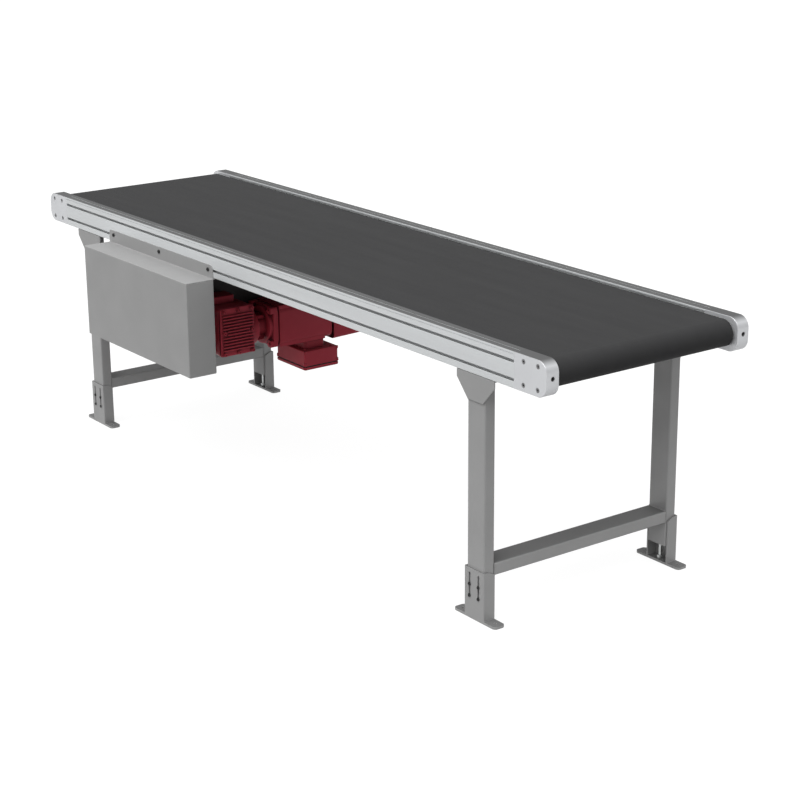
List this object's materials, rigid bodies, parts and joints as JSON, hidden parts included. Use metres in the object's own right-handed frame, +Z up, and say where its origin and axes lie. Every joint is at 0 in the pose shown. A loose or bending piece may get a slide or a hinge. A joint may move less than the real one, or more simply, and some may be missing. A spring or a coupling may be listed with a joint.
{
  "type": "belt conveyor section",
  "caption": "Flat belt conveyor on two height-adjustable leg frames, slotted side profiles, rounded end blocks, guarded underslung gearmotor drive and levelling feet.",
  "frame": {"origin": "centre of the eight floor anchor holes, on the floor, which is the middle of the conveyor's length and width", "axes": "+X along the belt towards the take-up end, +Y across the belt away from the guard, +Z up"},
  "size_m": [3, 0.9048, 0.876],
  "materials": {
    "anodised": "fine satin anodised",
    "belt": "matt dark grey fabric-backed belt",
    "frame_paint": "grey powder coat",
    "guard_paint": "grey powder coat",
    "gear_paint": "dark red gloss paint",
    "bright_steel": "ground steel",
    "zinc": "zinc plated",
    "black_screw": "black oxide",
    "lagging": "ribbed black rubber lagging",
    "drive_rubber": "black neoprene",
    "plastic": "black polyamide",
    "dark_paint": "near-black paint"
  },
  "bodies": {
    "frame": {"cable_gland": "plastic", "clamp_screws": "black_screw", "conveyor_belt": "belt", "cross_members": "zinc", "drive_belt": "drive_rubber", "drive_plate_far": "zinc", "drive_plate_near": "zinc", "drum_bearings": "frame_paint", "end_block_far_left": "anodised", "end_block_far_right": "anodised", "end_block_near_left": "anodised", "end_block_near_right": "anodised", "end_block_screws": "zinc", "fan_cowl": "gear_paint", "gear_cover": "gear_paint", "gear_cover_screws": "gear_paint", "gear_housing": "gear_paint", "guard_back_plate": "guard_paint", "guard_cover": "guard_paint", "head_axle": "bright_steel", "leg_end_inserts": "zinc", "leg_frame_left": "frame_paint", "leg_frame_right": "frame_paint", "motor_adaptor": "gear_paint", "motor_bracket": "dark_paint", "motor_end_shield": "dark_paint", "motor_flange": "gear_paint", "motor_housing": "gear_paint", "return_roller_hangers": "zinc", "side_profile_far": "anodised", "side_profile_near": "anodised", "slider_bed": "zinc", "slot_bolts": "black_screw", "terminal_box": "gear_paint", "terminal_box_lid": "gear_paint", "terminal_lid_screws": "gear_paint"},
    "drum": {"drive_drum": "bright_steel", "drum_lagging": "lagging", "drum_shaft": "bright_steel", "driven_pulley": "zinc"},
    "gear_output": {"output_shaft": "bright_steel", "drive_pulley": "zinc"},
    "rotor": {"motor_rotor": "bright_steel"},
    "head_roller": {"head_roller": "bright_steel"},
    "take_up": {"tail_axle": "bright_steel"},
    "tail_roller": {"tail_roller": "bright_steel"},
    "take_up_screw_near": {"take_up_screw_near": "black_screw"},
    "take_up_screw_far": {"take_up_screw_far": "black_screw"},
    "snub_left": {"snub_roller_left": "bright_steel"},
    "snub_right": {"snub_roller_right": "bright_steel"},
    "return_roller": {"return_roller": "bright_steel"},
    "foot_near_left": {"foot_near_left": "frame_paint"},
    "spindle_near_left": {"spindle_near_left": "zinc"},
    "foot_near_right": {"foot_near_right": "frame_paint"},
    "spindle_near_right": {"spindle_near_right": "zinc"},
    "foot_far_left": {"foot_far_left": "frame_paint"},
    "spindle_far_left": {"spindle_far_left": "zinc"},
    "foot_far_right": {"foot_far_right": "frame_paint"},
    "spindle_far_right": {"spindle_far_right": "zinc"}
  },
  "joints": [
    {"name": "drum_spin", "type": "hinge", "parent": "frame", "child": "drum", "pos_m": [-0.88, 0, 0.69], "axis": [0, 1, 0], "continuous": true},
    {"name": "gear_output_spin", "type": "hinge", "parent": "frame", "child": "gear_output", "pos_m": [-0.415, 0, 0.524], "axis": [0, 1, 0], "continuous": true},
    {"name": "rotor_spin", "type": "hinge", "parent": "frame", "child": "rotor", "pos_m": [-0.415, 0, 0.524], "axis": [0, 1, 0], "continuous": true},
    {"name": "head_roller_spin", "type": "hinge", "parent": "frame", "child": "head_roller", "pos_m": [-1.448, 0, 0.825], "axis": [0, 1, 0], "continuous": true},
    {"name": "take_up_slide", "type": "slide", "parent": "frame", "child": "take_up", "axis": [1, 0, 0], "range_m": [-0.01, 0]},
    {"name": "tail_roller_spin", "type": "hinge", "parent": "take_up", "child": "tail_roller", "pos_m": [1.448, 0, 0.825], "axis": [0, 1, 0], "continuous": true},
    {"name": "snub_left_spin", "type": "hinge", "parent": "frame", "child": "snub_left", "pos_m": [-0.968, 0, 0.758], "axis": [0, 1, 0], "continuous": true},
    {"name": "snub_right_spin", "type": "hinge", "parent": "frame", "child": "snub_right", "pos_m": [-0.792, 0, 0.758], "axis": [0, 1, 0], "continuous": true},
    {"name": "return_roller_spin", "type": "hinge", "parent": "frame", "child": "return_roller", "pos_m": [0.42, 0, 0.763], "axis": [0, 1, 0], "continuous": true},
    {"name": "take_up_screw_near_turn", "type": "hinge", "parent": "frame", "child": "take_up_screw_near", "pos_m": [1.49, -0.372, 0.825], "axis": [1, 0, 0], "range_deg": [-10, 2890]},
    {"name": "take_up_screw_far_turn", "type": "hinge", "parent": "frame", "child": "take_up_screw_far", "pos_m": [1.49, 0.372, 0.825], "axis": [1, 0, 0], "range_deg": [-10, 2890]},
    {"name": "foot_near_left_slide", "type": "slide", "parent": "frame", "child": "foot_near_left", "axis": [0, 0, 1], "range_m": [-0.034, 0]},
    {"name": "spindle_near_left_turn", "type": "hinge", "parent": "foot_near_left", "child": "spindle_near_left", "pos_m": [-1.187, -0.371, 0.02], "axis": [0, 0, 1], "range_deg": [-7010, 10]},
    {"name": "foot_near_right_slide", "type": "slide", "parent": "frame", "child": "foot_near_right", "axis": [0, 0, 1], "range_m": [-0.034, 0]},
    {"name": "spindle_near_right_turn", "type": "hinge", "parent": "foot_near_right", "child": "spindle_near_right", "pos_m": [1.187, -0.371, 0.02], "axis": [0, 0, 1], "range_deg": [-7010, 10]},
    {"name": "foot_far_left_slide", "type": "slide", "parent": "frame", "child": "foot_far_left", "axis": [0, 0, 1], "range_m": [-0.034, 0]},
    {"name": "spindle_far_left_turn", "type": "hinge", "parent": "foot_far_left", "child": "spindle_far_left", "pos_m": [-1.187, 0.371, 0.02], "axis": [0, 0, 1], "range_deg": [-7010, 10]},
    {"name": "foot_far_right_slide", "type": "slide", "parent": "frame", "child": "foot_far_right", "axis": [0, 0, 1], "range_m": [-0.034, 0]},
    {"name": "spindle_far_right_turn", "type": "hinge", "parent": "foot_far_right", "child": "spindle_far_right", "pos_m": [1.187, 0.371, 0.02], "axis": [0, 0, 1], "range_deg": [-7010, 10]}
  ],
  "couplings": [
    {"joint": "gear_output_spin", "follows": "drum_spin", "ratio": 1},
    {"joint": "rotor_spin", "follows": "drum_spin", "ratio": 30},
    {"joint": "head_roller_spin", "follows": "drum_spin", "ratio": 1.5185},
    {"joint": "tail_roller_spin", "follows": "drum_spin", "ratio": 1.5185},
    {"joint": "snub_left_spin", "follows": "drum_spin", "ratio": -2.3208},
    {"joint": "snub_right_spin", "follows": "drum_spin", "ratio": -2.3208},
    {"joint": "return_roller_spin", "follows": "drum_spin", "ratio": -2.8605},
    {"joint": "take_up_screw_near_turn", "follows": "take_up_slide", "rad_per_m": -5026.6},
    {"joint": "take_up_screw_far_turn", "follows": "take_up_slide", "rad_per_m": -5026.6},
    {"joint": "spindle_near_left_turn", "follows": "foot_near_left_slide", "rad_per_m": 3590.4},
    {"joint": "spindle_near_right_turn", "follows": "foot_near_right_slide", "rad_per_m": 3590.4},
    {"joint": "spindle_far_left_turn", "follows": "foot_far_left_slide", "rad_per_m": 3590.4},
    {"joint": "spindle_far_right_turn", "follows": "foot_far_right_slide", "rad_per_m": 3590.4}
  ]
}
